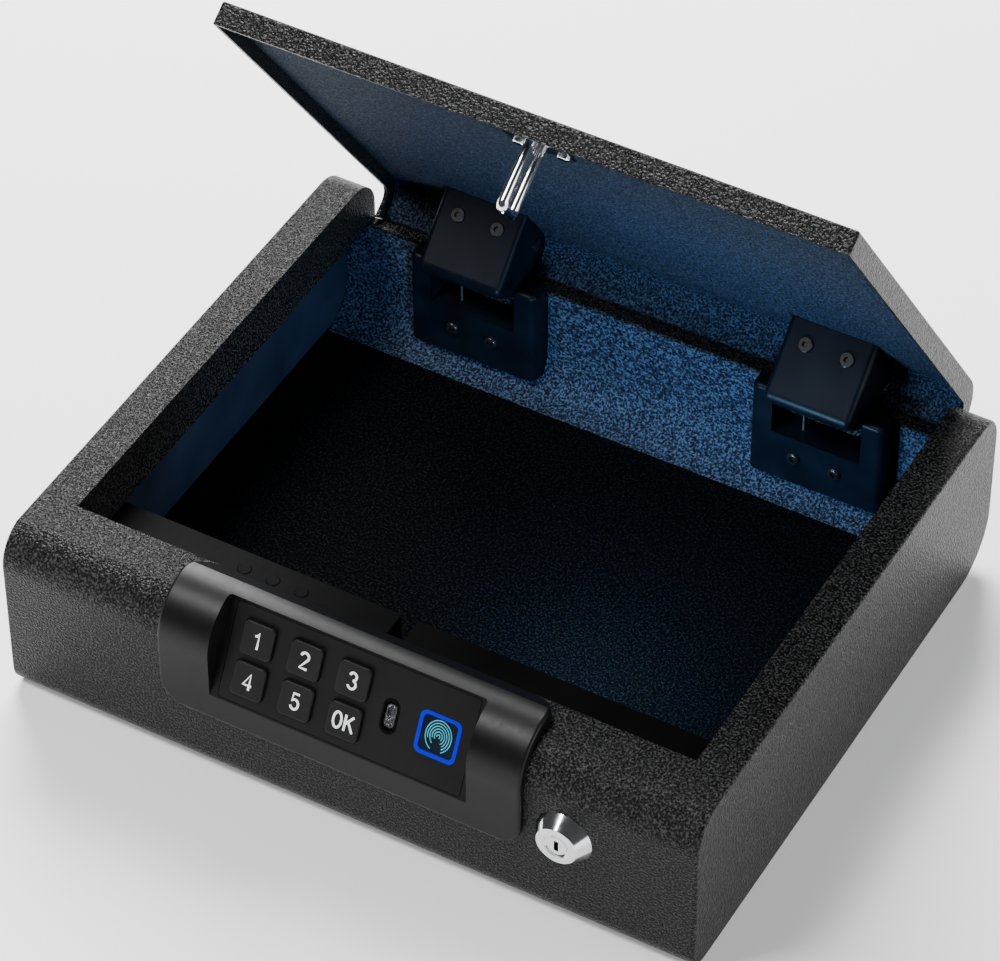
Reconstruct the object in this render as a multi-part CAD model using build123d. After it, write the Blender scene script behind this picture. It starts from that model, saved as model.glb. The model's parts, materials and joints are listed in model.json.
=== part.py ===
from build123d import *
from math import atan2, cos, degrees, hypot, radians, sin, sqrt
import os

# Quick-access pistol safe: a welded steel body, an inset lid on two sprung hinges, a keypad
# with fingerprint reader on the front edge, a key lock, and a motor latch behind the front.
# Millimetres.  +X is the user's right, -Y is the front, +Z is up.
# The origin is the centre of the flat underside.

# ---------------------------------------------------------------- driving dimensions: body
WIDTH = 310.0
DEPTH = 261.0
HEIGHT = 83.0
STEEL = 1.6                     # sheet thickness of body and lid
FRONT_TOP_R = 17.0              # bend between front wall and top
FRONT_TOP_CENTRE_Z = 66.5       # its centre, so that the top flat meets it in a faint crease
CREASE_R = 4.0                  # softens the crease
FRONT_BOTTOM_R = 10.0
REAR_BOTTOM_R = 25.0
REAR_TOP_R = 16.0
SIDE_EDGE_R = 1.5               # bend between the side panels and the wrap
OPENING_HALF = 138.0            # half width of the top opening
OPENING_FRONT = 30.6            # opening's front edge, behind the front face
FLANGE_BOTTOM = 58.0            # lower edge of the turned-down flanges; also the rear ledge
LEDGE_DEPTH = 5.0               # inward fold at the top of the rear wall
BOLT_SPACING_X = 220.0          # mounting holes in the floor
BOLT_SPACING_Y = 120.0
BOLT_HOLE_R = 3.5

# ---------------------------------------------------------------- liners
LINER = 3.4                     # foam thickness on floor, sides and rear
SIDE_LINER_TOP = 70.0           # the side liners run up behind the rims
LID_LINER = 3.0
LID_LINER_LOW = 62.0            # its lower end on the lid's rear flange, lid shut
FIT = 0.3                       # general gap between pieces that only sit beside each other

# ---------------------------------------------------------------- lid and hinge axis
LID_HALF = 136.8
LID_FRONT = 31.5                # behind the body's front face, lid shut
LIP = 9.9                       # depth of the lid's turned-down lips
LID_REAR_GAP = 2.3              # between the lid's rear flange and the ledge, lid shut
PIVOT_Y = 255.3                 # hinge axis, behind the front face
PIVOT_Z = 53.5
OPEN_ANGLE = 55.0               # the lid's stop
WALL_SWING_R = 7.7              # the lid keeps outside this radius so that it clears the rear wall

# ---------------------------------------------------------------- hinges
HINGE_X = 81.5                  # each hinge's centre, left and right of the middle
BASE_HALF = 30.5
BASE_FRONT = 245.0
BASE_BOTTOM = 12.0
POST_TOP = 61.5
SLOT_HALF = 20.4
SLOT_BOTTOM = 38.3
COVER_HALF = 19.8
COVER_T = 2.0
PIN_R = 2.0
KNUCKLE_R = 3.9
PIN_PLAY = 0.05                 # radial running clearance
BASE_SCREW_Z = 28.0
HINGE_SCREW_HALF = 9.4          # half the spacing of each pair of hinge screws
COVER_TOP = (223.4, 77.4)       # two points on the shut cover's front face:
COVER_LOW = (230.4, 41.6)       # distance behind the body's front, and height
COVER_SCREW_Z = 69.1
RIVET_Y = 246.2                 # through the cheeks and the leaf's ears, lid shut
RIVET_Z = 72.3
RIVET_R = 1.6
LEAF_T = 2.0
SPRING_WIRE_R = 0.6
SPRING_TURNS = 12
SPRING_PITCH = 1.5

# ---------------------------------------------------------------- striker, on the lid
STRIKER_X = -5.0
STRIKER_Y = 59.8                # centre, behind the front face, lid shut
STRIKER_PLATE_X = 27.8
STRIKER_PLATE_Y = 22.0
STRIKER_PLATE_T = 3.5
LOOP_HALF = 6.5                 # half the spacing of the loop's legs
LOOP_R = 2.3                    # the loop is bent from round bar
LOOP_BOTTOM = 46.6              # lowest point, lid shut

# ---------------------------------------------------------------- control housing
HOUSING_TOP = 58.0
HOUSING_REAR = 62.6             # behind the front face
HOUSING_WALL = 1.5
HOUSING_HALF = OPENING_HALF - FIT
HOUSING_SCREW_X = (-133.0, -24.0, 14.0, 133.0)
HOUSING_SCREW_Z = 20.0
NOTCH_LEFT = -9.1               # the striker's pocket
NOTCH_RIGHT = -1.2
NOTCH_FRONT = 50.4
NOTCH_BOTTOM = 44.0
BUTTON_R = 2.8
BUTTON_PITCH = 13.2
BUTTON_X = -62.7                # the middle one of three
BUTTON_Y = 53.7
BUTTON_TRAVEL = 0.8

# ---------------------------------------------------------------- keypad bezel
BEZEL_HALF = 81.0
BEZEL_BOTTOM = 33.5
BEZEL_REAR = 30.0
BEZEL_PROUD = 3.0               # in front of the front face
BEZEL_BEND_R = 22.0
BEZEL_CORNER_R = 12.0
BEZEL_EDGE_R = 1.5
PLATE_Y = -2.5                  # lower edge of the keypad plate's face, behind the front face
PLATE_Z = 48.8
PLATE_RISE_Y = 18.7             # the plate leans back by this much ...
PLATE_RISE_Z = 36.5             # ... over this height
PLATE_HALF = 54.0
PLATE_HEIGHT = 41.0
PLATE_T = 2.0
RECESS_HALF = 57.5              # the flat recess that frames the plate
RECESS_MARGIN = 2.2             # below and above the plate
TRAY_DEPTH = 11.0
TRAY_WALL = 1.4
KEY_W = 14.0
KEY_H = 14.0
KEY_R = 2.0
KEY_PROUD = 1.8
KEY_TRAVEL = 1.0
KEY_COLUMNS = (-42.0, -20.6, 1.0)
KEY_ROWS = (28.6, 11.2)         # up the plate from its lower edge
USB_X = 18.6
USB_V = 20.0
SENSOR_X = 39.9
SENSOR_V = 19.8
SENSOR_W = 18.2                 # outer size of the lit ring
SENSOR_RING = 1.6

# ---------------------------------------------------------------- key lock
LOCK_X = 98.0
LOCK_Z = 47.9
LOCK_BASE_R = 12.5
LOCK_FACE_R = 8.7
LOCK_PROUD = 5.6
LOCK_BODY_R = 8.5
LOCK_BODY_LENGTH = 22.0
PLUG_R = 4.4

# ---------------------------------------------------------------- latch
BOLT_TRAVEL = 12.0
BOLT_FRONT = 56.6               # bolt plate, behind the front face
BOLT_REAR = 60.6
BOLT_TIP_BOTTOM = 52.2
BOLT_TIP_TOP = 55.7
CRANK_R = BOLT_TRAVEL / sqrt(2)  # a quarter turn, 45 degrees each side of straight down
CRANK_PIN_R = 1.5
CRANK_SLOT_PLAY = 0.45
MOTOR_X = 46.0
MOTOR_Z = 46.0
# left and right end, then lowest and highest point of the bolt inside each guide
GUIDES = ((4.0, 16.0, BOLT_TIP_BOTTOM, BOLT_TIP_TOP), (118.0, 122.0, 35.0, 41.0))

# ---------------------------------------------------------------- power and light
BATTERY_LEFT = -128.0
BATTERY_RIGHT = -66.0
BATTERY_BOTTOM = 9.0
BATTERY_TOP = 43.0
CELL_R = 7.2
CELL_LENGTH = 50.0
LIGHT_LEFT = 24.0
LIGHT_RIGHT = 64.0
LIGHT_BOTTOM = 48.0
LIGHT_TOP = 53.0

FRONT = -DEPTH / 2


# ---------------------------------------------------------------- helpers
def back(distance):
    """Y of a plane this far behind the body's front face."""
    return FRONT + distance


def block(x0, x1, y0, y1, z0, z1):
    """Box between two corners; y is measured back from the front face."""
    middle = Pos((x0 + x1) / 2, back((y0 + y1) / 2), (z0 + z1) / 2)
    return middle * Box(abs(x1 - x0), abs(y1 - y0), abs(z1 - z0))


def arc(centre, radius, start, end):
    """Arc about a centre between two angles in degrees."""
    points = []
    for angle in (start, (start + end) / 2, end):
        turn = radians(angle)
        points.append((centre[0] + radius * cos(turn), centre[1] + radius * sin(turn)))
    return ThreePointArc(*points)


def closed_face(edges):
    """Face bounded by edges that meet end to end, with straight runs filling the gaps."""
    chain = []
    for index, edge in enumerate(edges):
        chain.append(edge)
        gap_start = edge @ 1
        gap_end = edges[(index + 1) % len(edges)] @ 0
        if (gap_start - gap_end).length > 1e-6:
            chain.append(Line(gap_start, gap_end))
    return make_face(chain)


def along_x(face, x0, x1):
    """Extrude a face drawn in (distance behind the front, height) from x0 to x1."""
    placed = Plane((x0, FRONT, 0), x_dir=(0, 1, 0), z_dir=(1, 0, 0)) * face
    return extrude(placed, amount=x1 - x0, dir=(1, 0, 0))


def polygon_x(points, x0, x1):
    """Extrude a polygon of (distance behind the front, height) from x0 to x1."""
    return along_x(make_face(Polyline(*points, close=True)), x0, x1)


def rod_x(y, z, radius, x0, x1):
    """Round bar along X."""
    return Pos((x0 + x1) / 2, back(y), z) * Rot(0, 90, 0) * Cylinder(radius, abs(x1 - x0))


def rod_y(x, z, radius, y0, y1):
    """Round bar along Y, its ends measured back from the front face."""
    return Pos(x, back((y0 + y1) / 2), z) * Rot(90, 0, 0) * Cylinder(radius, abs(y1 - y0))


def rod_z(x, y, radius, z0, z1):
    """Round bar along Z."""
    return Pos(x, back(y), (z0 + z1) / 2) * Cylinder(radius, abs(z1 - z0))


def opened(shape):
    """Swing a shape modelled with the lid shut up to the lid's stop."""
    axis = Axis((0, back(PIVOT_Y), PIVOT_Z), (1, 0, 0))
    return shape.rotate(axis, -OPEN_ANGLE)


def group(shapes):
    """Identical fasteners kept as separate solids in one node."""
    return Compound(children=[part.solid() for part in shapes])


# Keypad plane: x across, v up the plate from its lower edge, outward normal.
LEAN = degrees(atan2(PLATE_RISE_Y, PLATE_RISE_Z))
KEYPAD = Plane(
    origin=(0, back(PLATE_Y), PLATE_Z),
    x_dir=(1, 0, 0),
    z_dir=(0, -cos(radians(LEAN)), sin(radians(LEAN))),
)


def on_keypad(x, v, out, width, height, thickness, corner=0.0):
    """Plate on the keypad plane, from out - thickness to out above the plane."""
    outline = Rectangle(width, height)
    if corner > 0:
        outline = fillet(outline.vertices(), corner)
    placed = KEYPAD * Pos(x, v, out - thickness) * outline
    return extrude(placed, amount=thickness, dir=KEYPAD.z_dir)


# ---------------------------------------------------------------- body
def body_profile(inset):
    """Side view of the body, moved inwards by inset."""
    top = HEIGHT - inset
    front_r = FRONT_TOP_R - inset
    crease = degrees(atan2(top - FRONT_TOP_CENTRE_Z,
                           -sqrt(front_r**2 - (top - FRONT_TOP_CENTRE_Z) ** 2)))
    return closed_face([
        arc((FRONT_TOP_R, FRONT_TOP_CENTRE_Z), front_r, 180, crease),
        arc((DEPTH - REAR_TOP_R, HEIGHT - REAR_TOP_R), REAR_TOP_R - inset, 90, 0),
        arc((DEPTH - REAR_BOTTOM_R, REAR_BOTTOM_R), REAR_BOTTOM_R - inset, 0, -90),
        arc((FRONT_BOTTOM_R, FRONT_BOTTOM_R), FRONT_BOTTOM_R - inset, -90, -180),
    ])


def body_wrap():
    """Closed steel box with its bends, before the openings are cut."""
    outer = along_x(body_profile(0), -WIDTH / 2, WIDTH / 2)
    top_edges_x = outer.edges().filter_by(Axis.X).filter_by_position(Axis.Z, HEIGHT, HEIGHT)
    outer = fillet(top_edges_x.sort_by(Axis.Y)[0], CREASE_R)
    side_edges = (outer.edges().filter_by_position(Axis.X, -WIDTH / 2, -WIDTH / 2)
                  + outer.edges().filter_by_position(Axis.X, WIDTH / 2, WIDTH / 2))
    outer = fillet(side_edges, SIDE_EDGE_R)
    inner = along_x(body_profile(STEEL), STEEL - WIDTH / 2, WIDTH / 2 - STEEL)
    return outer - inner


def side_flange(side):
    """Turned-down inner flange of one side rim; side is -1 or 1."""
    plate = along_x(body_profile(0), side * OPENING_HALF, side * (OPENING_HALF + STEEL))
    keep = block(-WIDTH, WIDTH, OPENING_FRONT - STEEL, DEPTH, FLANGE_BOTTOM, HEIGHT)
    return plate & keep


def mounting_points():
    """Centres of the four floor holes."""
    return [(sx * BOLT_SPACING_X / 2, sy * BOLT_SPACING_Y / 2) for sx in (-1, 1) for sy in (-1, 1)]


def hinge_screw_places():
    """X of the four hinge screws."""
    return [side * HINGE_X + way * HINGE_SCREW_HALF for side in (-1, 1) for way in (-1, 1)]


def body_shell():
    shell = body_wrap()
    shell -= block(-OPENING_HALF, OPENING_HALF, OPENING_FRONT, DEPTH + 5, FLANGE_BOTTOM, HEIGHT + 5)
    for side in (-1, 1):
        shell += side_flange(side)
    shell += block(-OPENING_HALF, OPENING_HALF, OPENING_FRONT - STEEL, OPENING_FRONT,
                   FLANGE_BOTTOM, HEIGHT - STEEL)
    ledge_half = OPENING_HALF + STEEL
    ledge = block(-ledge_half, ledge_half, DEPTH - LEDGE_DEPTH, DEPTH - STEEL,
                  FLANGE_BOTTOM - STEEL, FLANGE_BOTTOM)
    for side in (-1, 1):
        ledge -= block(side * HINGE_X - SLOT_HALF, side * HINGE_X + SLOT_HALF,
                       DEPTH - LEDGE_DEPTH - 1, DEPTH - STEEL, 0, HEIGHT)
    shell += ledge
    shell -= keypad_hole()
    shell -= rod_y(LOCK_X, LOCK_Z, LOCK_BODY_R + 0.15, -5, 5)
    for x, y in mounting_points():
        shell -= Pos(x, y, 0) * Cylinder(BOLT_HOLE_R, 4 * STEEL)
    for x in hinge_screw_places():
        shell -= rod_y(x, BASE_SCREW_Z, PIN_R + 0.1, DEPTH - 5, DEPTH + 5)
    return shell


# ---------------------------------------------------------------- liners
def floor_liner():
    liner = block(STEEL - WIDTH / 2 + FIT, WIDTH / 2 - STEEL - FIT, HOUSING_REAR + FIT, DEPTH,
                  STEEL, STEEL + LINER)
    return liner & along_x(body_profile(STEEL + FIT / 3), -WIDTH / 2, WIDTH / 2)


def side_liner(side):
    """Smooth foam on one side wall, from the floor liner up into the rim."""
    wall = side * (WIDTH / 2 - STEEL)
    liner = along_x(body_profile(STEEL + FIT), wall - side * FIT / 3, wall - side * LINER)
    keep = block(-WIDTH, WIDTH, HOUSING_REAR + FIT, DEPTH, STEEL + LINER + 0.1, SIDE_LINER_TOP)
    return liner & keep


def rear_liner():
    """Foam that follows the rear wall and its lower bend, cut out round the hinge bases."""
    half = WIDTH / 2 - STEEL - LINER - FIT / 3
    liner = along_x(body_profile(STEEL + FIT / 3), -half, half)
    liner -= along_x(body_profile(STEEL + LINER), -half, half)
    liner &= block(-WIDTH, WIDTH, DEPTH - REAR_BOTTOM_R, DEPTH,
                   STEEL + LINER + 0.1, FLANGE_BOTTOM - STEEL - FIT / 3)
    for side in (-1, 1):
        liner -= block(side * HINGE_X - BASE_HALF - FIT, side * HINGE_X + BASE_HALF + FIT,
                       BASE_FRONT, DEPTH, BASE_BOTTOM - FIT, HEIGHT)
    return liner


# ---------------------------------------------------------------- lid
def lid_profile(inset):
    """Side view of the shut lid's outer faces, moved inwards by inset."""
    bottom = FLANGE_BOTTOM + LID_REAR_GAP
    rear_r = REAR_TOP_R - inset
    return closed_face([
        Line((LID_FRONT + inset, HEIGHT - LIP), (LID_FRONT + inset, HEIGHT - inset)),
        arc((DEPTH - REAR_TOP_R, HEIGHT - REAR_TOP_R), rear_r, 90, 0),
        Line((DEPTH - inset, bottom), (DEPTH - LIP, bottom)),
        arc((DEPTH - REAR_TOP_R, HEIGHT - REAR_TOP_R), REAR_TOP_R - LIP, 0, 90),
    ])


def lid_panel():
    outer = along_x(lid_profile(0), -LID_HALF, LID_HALF)
    corner = outer.edges().filter_by_position(Axis.X, -LID_HALF, -LID_HALF)
    corner += outer.edges().filter_by_position(Axis.X, LID_HALF, LID_HALF)
    outside = [edge for edge in corner if on_lid_outside(edge)]
    front_top = outer.edges().filter_by(Axis.X).sort_by(Axis.Z)[-3:].sort_by(Axis.Y)[0]
    outer = fillet(outside + [front_top], SIDE_EDGE_R * 0.7)
    inner = block(STEEL - LID_HALF, LID_HALF - STEEL, LID_FRONT + STEEL, DEPTH - STEEL,
                  0, HEIGHT - STEEL)
    inner &= along_x(lid_cavity(), -WIDTH, WIDTH)
    panel = outer - inner
    panel -= rod_x(PIVOT_Y, PIVOT_Z, WALL_SWING_R, -WIDTH, WIDTH)
    for x, y in striker_screw_places():
        panel -= rod_z(x, y, 1.6, HEIGHT - STEEL - 1, HEIGHT - STEEL + 1.0)
    return panel


def on_lid_outside(edge):
    """True for an end edge that lies on the lid's outer surface, not on its lip's edge."""
    middle = edge @ 0.5
    y = middle.Y - FRONT
    on_front = abs(y - LID_FRONT) < 0.01
    on_top = abs(middle.Z - HEIGHT) < 0.01
    on_rear = abs(y - DEPTH) < 0.01
    from_bend = hypot(y - (DEPTH - REAR_TOP_R), middle.Z - (HEIGHT - REAR_TOP_R))
    return on_front or on_top or on_rear or abs(from_bend - REAR_TOP_R) < 0.01


def lid_cavity():
    """Side view of the hollow under the lid's sheet."""
    rear_r = REAR_TOP_R - STEEL
    return closed_face([
        Line((LID_FRONT + STEEL, 0), (LID_FRONT + STEEL, HEIGHT - STEEL)),
        arc((DEPTH - REAR_TOP_R, HEIGHT - REAR_TOP_R), rear_r, 90, 0),
        Line((DEPTH - STEEL, HEIGHT - 2 * REAR_TOP_R), (DEPTH - STEEL, 0)),
    ])


def lid_liner():
    """Foam under the lid's sheet and round its rear bend, cut out for the hinges and striker."""
    half = LID_HALF - STEEL - FIT
    bend = (DEPTH - REAR_TOP_R, HEIGHT - REAR_TOP_R)
    outer_r = REAR_TOP_R - STEEL - FIT / 3
    inner_r = outer_r - LID_LINER
    front = LID_FRONT + STEEL + FIT
    liner = along_x(closed_face([
        Line((front, bend[1] + inner_r), (front, bend[1] + outer_r)),
        arc(bend, outer_r, 90, 0),
        Line((bend[0] + outer_r, LID_LINER_LOW), (bend[0] + inner_r, LID_LINER_LOW)),
        arc(bend, inner_r, 0, 90),
    ]), -half, half)
    for side in (-1, 1):
        liner -= block(side * HINGE_X - COVER_HALF - FIT, side * HINGE_X + COVER_HALF + FIT,
                       cover_front(HEIGHT) - FIT, DEPTH, 0, HEIGHT)
    liner -= block(STRIKER_X - STRIKER_PLATE_X / 2 - FIT, STRIKER_X + STRIKER_PLATE_X / 2 + FIT,
                   STRIKER_Y - STRIKER_PLATE_Y / 2 - FIT, STRIKER_Y + STRIKER_PLATE_Y / 2 + FIT,
                   0, HEIGHT)
    return liner


# ---------------------------------------------------------------- striker
def striker_screw_places():
    return [(STRIKER_X + sx * 9.7, STRIKER_Y + sy * 7.4) for sx in (-1, 1) for sy in (-1, 1)]


def striker_plate():
    under = HEIGHT - STEEL
    plate = block(STRIKER_X - STRIKER_PLATE_X / 2, STRIKER_X + STRIKER_PLATE_X / 2,
                  STRIKER_Y - STRIKER_PLATE_Y / 2, STRIKER_Y + STRIKER_PLATE_Y / 2,
                  under - STRIKER_PLATE_T, under)
    plate = fillet(plate.edges().filter_by(Axis.Z), 2.0)
    for x, y in striker_screw_places():
        plate -= rod_z(x, y, 1.6, 0, HEIGHT)
    for way in (-1, 1):
        plate -= rod_z(STRIKER_X, STRIKER_Y + way * LOOP_HALF, LOOP_R, 0, HEIGHT)
    return plate


def striker_loop():
    """Round bar bent into a U and pressed into the plate."""
    top = HEIGHT - STEEL
    low = LOOP_BOTTOM + LOOP_R
    path = FilletPolyline(
        (STRIKER_X, back(STRIKER_Y - LOOP_HALF), top),
        (STRIKER_X, back(STRIKER_Y - LOOP_HALF), low),
        (STRIKER_X, back(STRIKER_Y + LOOP_HALF), low),
        (STRIKER_X, back(STRIKER_Y + LOOP_HALF), top),
        radius=2.6,
    )
    section = Plane(path @ 0, z_dir=path % 0) * Circle(LOOP_R)
    return sweep(section, path=path)


def striker_screws():
    under = HEIGHT - STEEL - STRIKER_PLATE_T
    screws = []
    for x, y in striker_screw_places():
        head = rod_z(x, y, 2.7, under - 1.5, under)
        head = fillet(head.edges().sort_by(Axis.Z)[0], 1.1)
        screws.append(head + rod_z(x, y, 1.5, under, HEIGHT - STEEL + 0.9))
    return screws


# ---------------------------------------------------------------- hinges
def hinge_base(side):
    """Cast base on the rear wall: a foot with two posts that hold the pin."""
    x = side * HINGE_X
    base = block(x - BASE_HALF, x + BASE_HALF, BASE_FRONT, DEPTH - LEDGE_DEPTH - 0.2,
                 BASE_BOTTOM, POST_TOP)
    front_edges = base.edges().filter_by(Axis.Z).sort_by(Axis.Y)[:2]
    base = fillet(front_edges, 3.5)
    lower = base.faces().sort_by(Axis.Z)[0].edges()
    base = chamfer(lower, 1.5)
    base += block(x - BASE_HALF, x + BASE_HALF, DEPTH - LEDGE_DEPTH - 2, DEPTH - STEEL,
                  BASE_BOTTOM + 14, FLANGE_BOTTOM - STEEL - 0.2)
    base -= block(x - SLOT_HALF, x + SLOT_HALF, BASE_FRONT - 5, DEPTH, SLOT_BOTTOM, HEIGHT)
    posts = base.faces().filter_by(Axis.Z).sort_by(Axis.Z)[-2:]
    base = fillet([edge for post in posts for edge in post.edges()], 2.2)
    base -= rod_x(PIVOT_Y, PIVOT_Z, PIN_R + 0.02, x - BASE_HALF + 1.5, x + BASE_HALF - 1.5)
    for way in (-1, 1):
        base -= rod_y(x + way * HINGE_SCREW_HALF, BASE_SCREW_Z, PIN_R + 0.1, BASE_FRONT - 5, DEPTH)
    return base


def hinge_pin(side):
    x = side * HINGE_X
    return rod_x(PIVOT_Y, PIVOT_Z, PIN_R, x - BASE_HALF + 1.5, x + BASE_HALF - 1.5)


def cover_front(z):
    """Distance behind the body's front of the shut cover's front face at a height."""
    top_y, top_z = COVER_TOP
    low_y, low_z = COVER_LOW
    return top_y + (low_y - top_y) * (top_z - z) / (top_z - low_z)


def cover_outline(inset):
    """Side view of the shut cover, moved inwards by inset except at the lid and the knuckle."""
    top = HEIGHT - STEEL
    low = COVER_LOW[1] + inset
    heel = PIVOT_Y - 1.5
    return make_face(Polyline(
        (cover_front(top) + inset, top),
        (cover_front(low) + inset, low),
        (PIVOT_Y - 1.0, PIVOT_Z - KNUCKLE_R + inset),
        (PIVOT_Y, PIVOT_Z),
        (heel, PIVOT_Z + 5.5),
        (heel, top - 4.0),
        (DEPTH - REAR_TOP_R, top),
        close=True,
    ))


def hinge_cover(side):
    """Pressed cover whose cheeks turn on the pin."""
    x = side * HINGE_X
    cover = along_x(cover_outline(0), x - COVER_HALF, x + COVER_HALF)
    nose = cover.edges().filter_by(Axis.X).sort_by(Axis.Z)[0]
    cover = fillet(nose, 4.5)
    front_sides = [edge for edge in cover.edges()
                   if abs(edge.center().X - x) > COVER_HALF - 0.1
                   and edge.center().Y < back(cover_front(edge.center().Z)) + 0.6]
    cover = fillet(front_sides, 2.6)
    inner = along_x(cover_outline(COVER_T), x - COVER_HALF + COVER_T, x + COVER_HALF - COVER_T)
    nose = inner.edges().filter_by(Axis.X).sort_by(Axis.Z)[0]
    inner = fillet(nose, 2.5)
    rear_mouth = block(x - COVER_HALF + COVER_T, x + COVER_HALF - COVER_T, PIVOT_Y - 12.5, DEPTH,
                       0, HEIGHT)
    cover -= inner
    cover -= rear_mouth
    for way in (-1, 1):
        outer_x = x + way * COVER_HALF
        cover += rod_x(PIVOT_Y, PIVOT_Z, KNUCKLE_R, outer_x, outer_x - way * COVER_T)
    cover -= rod_x(PIVOT_Y, PIVOT_Z, PIN_R + PIN_PLAY, x - BASE_HALF, x + BASE_HALF)
    for way in (-1, 1):
        cover -= cover_screw_hole(x + way * HINGE_SCREW_HALF)
    cover -= rod_x(RIVET_Y, RIVET_Z, RIVET_R + 0.05, x - BASE_HALF, x + BASE_HALF)
    return cover


def cover_inward():
    """Unit vector into the shut cover, square to its front face."""
    lean = atan2(COVER_LOW[0] - COVER_TOP[0], COVER_TOP[1] - COVER_LOW[1])
    return Vector(0, cos(lean), sin(lean))


def cover_face_point(x):
    """Where a cover screw's axis meets the cover's front face."""
    return Vector(x, back(cover_front(COVER_SCREW_Z)), COVER_SCREW_Z)


def cover_normal_rod(x, start, end, radius):
    """Round bar square to the shut cover's front face, start and end measured inwards."""
    middle = cover_face_point(x) + cover_inward() * ((start + end) / 2)
    return Plane(middle, z_dir=cover_inward()) * Cylinder(radius, end - start)


def cover_screw_hole(x):
    return cover_normal_rod(x, -3, 8, 1.7)


def hinge_leaf(side):
    """Steel bracket welded under the lid; the cover is fixed to its front leg and ears."""
    x = side * HINGE_X
    top = HEIGHT - STEEL
    half = COVER_HALF - COVER_T - 0.15
    t = LEAF_T
    skin = COVER_T + 0.1
    leaf = polygon_x(
        [(cover_front(top) + skin, top), (cover_front(60.0) + skin, 60.0),
         (cover_front(60.0) + skin + t, 60.0), (cover_front(top - t) + skin + t, top - t),
         (241.5, top - t), (241.5, top)],
        x - half, x + half)
    for way in (-1, 1):
        ear = polygon_x(
            [(cover_front(top) + skin + 2, top), (cover_front(66.0) + skin + 2, 66.0),
             (250.0, 66.0), (250.0, top - 3.0), (244.0, top)],
            x + way * half, x + way * (half - t))
        leaf += ear
    for way in (-1, 1):
        leaf -= cover_normal_rod(x + way * HINGE_SCREW_HALF, -3, 8, 1.6)
    leaf -= rod_x(RIVET_Y, RIVET_Z, RIVET_R + 0.05, x - BASE_HALF, x + BASE_HALF)
    return leaf


def hinge_spring(side):
    """Torsion spring round the pin; one leg rests in the base, the other under the lid."""
    wire = SPRING_WIRE_R
    coil_r = PIN_R + 0.35 + wire
    length = SPRING_TURNS * SPRING_PITCH
    x = side * HINGE_X
    helix = Helix(SPRING_PITCH, length, coil_r)
    section = Plane(helix @ 0, z_dir=helix % 0) * Circle(wire)
    coil = Pos(x - length / 2, back(PIVOT_Y), PIVOT_Z) * Rot(0, 90, 0) * sweep(section, path=helix)
    foot = rod_z(x - length / 2, PIVOT_Y - coil_r, wire, SLOT_BOTTOM, PIVOT_Z + 0.5)
    tip = rod_z(x + length / 2, PIVOT_Y - coil_r, wire, PIVOT_Z - 0.5, PIVOT_Z + 22)
    swing = Axis((0, back(PIVOT_Y), PIVOT_Z), (1, 0, 0))
    return coil + foot + tip.rotate(swing, -20)


def hex_socket(plane, across, depth):
    """Six-sided hole sunk into a screw head from the plane, against its normal."""
    return extrude(plane * RegularPolygon(across / 2, 6, major_radius=False),
                   amount=depth, dir=-plane.z_dir)


def base_screws():
    """Domed socket screws through the hinge bases and the rear wall."""
    screws = []
    for x in hinge_screw_places():
        head = rod_y(x, BASE_SCREW_Z, 3.0, BASE_FRONT - 1.7, BASE_FRONT)
        head = fillet(head.edges().sort_by(Axis.Y)[0], 1.2)
        plane = Plane((x, back(BASE_FRONT - 1.7), BASE_SCREW_Z), z_dir=(0, -1, 0))
        screw = head + rod_y(x, BASE_SCREW_Z, PIN_R, BASE_FRONT, DEPTH - 0.2)
        screws.append(screw - hex_socket(plane, 2.5, 1.4))
    return screws


def cover_screws():
    """Low socket screws that fix the covers to the leaves."""
    screws = []
    for x in hinge_screw_places():
        head = cover_normal_rod(x, -1.1, 0, 3.2)
        rim = head.edges().filter_by(GeomType.CIRCLE).sort_by(Axis.Y)[0]
        head = fillet(rim, 0.4)
        normal = -cover_inward()
        plane = Plane(cover_face_point(x) + normal * 1.1, z_dir=normal)
        screw = head + cover_normal_rod(x, 0, 4.0, 1.5)
        screws.append(screw - hex_socket(plane, 2.5, 1.3))
    return screws


def cheek_rivets():
    rivets = []
    for side in (-1, 1):
        for way in (-1, 1):
            outer = side * HINGE_X + way * COVER_HALF
            shank = rod_x(RIVET_Y, RIVET_Z, RIVET_R, outer, outer - way * (COVER_T + 2.15))
            head = rod_x(RIVET_Y, RIVET_Z, 3.0, outer, outer + way * 0.5)
            rivets.append(shank + head)
    return rivets


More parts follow.
